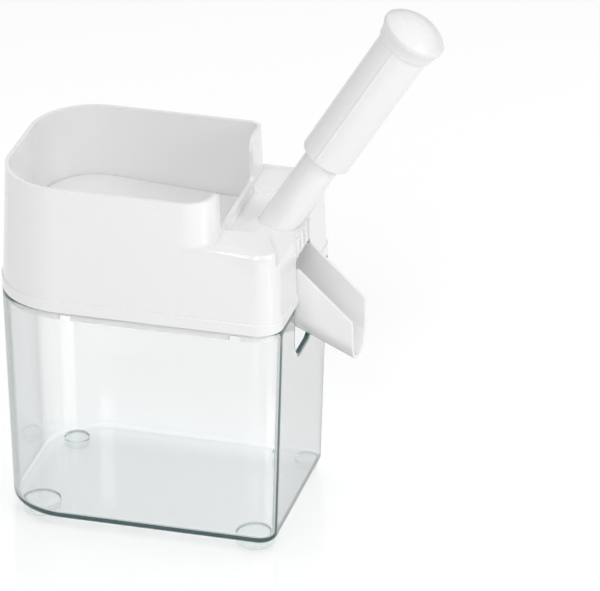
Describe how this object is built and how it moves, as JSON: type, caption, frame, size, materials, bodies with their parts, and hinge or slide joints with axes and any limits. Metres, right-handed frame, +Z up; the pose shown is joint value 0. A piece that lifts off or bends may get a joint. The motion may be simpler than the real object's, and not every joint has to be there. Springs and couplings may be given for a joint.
{
  "type": "cherry pitter",
  "caption": "Tabletop cherry pitter with a clear stone container, a white hopper housing, a discharge chute and a slanted spring-return plunger with a knob.",
  "frame": {"origin": "under the middle of the whole object seen from above, at the level of the feet", "axes": "+X from the hopper to the chute, +Y to the back, +Z up"},
  "size_m": [0.2332, 0.1164, 0.2964],
  "materials": {
    "white_plastic": "smooth glossy moulded white plastic",
    "clear_plastic": "clear moulded plastic with teal edges",
    "foot_silicone": "clear soft feet",
    "seat_silicone": "soft translucent silicone",
    "steel": "stainless steel"
  },
  "bodies": {
    "container_body": {"container": "clear_plastic", "foot_front_left": "foot_silicone", "foot_front_right": "foot_silicone", "foot_rear_left": "foot_silicone", "foot_rear_right": "foot_silicone"},
    "head": {"housing": "white_plastic", "feed_tray": "white_plastic", "seat_holder": "white_plastic", "cherry_seat": "seat_silicone", "seat_retainer": "white_plastic", "chute": "white_plastic", "guide_tube": "white_plastic", "stripper_ring": "white_plastic", "guide_bush": "white_plastic", "spring_washer": "steel", "return_spring": "steel", "tube_screws": "steel", "stop_ring": "steel"},
    "plunger": {"plunger_sleeve": "white_plastic", "sleeve_bush": "white_plastic", "plunger_rod": "steel", "needle_collet": "steel", "pitting_needle": "steel", "knob_cap": "white_plastic", "knob_screw": "steel"}
  },
  "joints": [
    {"name": "head_lift", "type": "slide", "parent": "container_body", "child": "head", "axis": [0, 0, 1], "range_m": [0, 0.06]},
    {"name": "plunger_press", "type": "slide", "parent": "head", "child": "plunger", "axis": [-0.5284, 0, -0.849], "range_m": [0, 0.04], "stiffness_N_per_m": 300, "springref_m": -0.03, "deforming": ["return_spring"]}
  ]
}
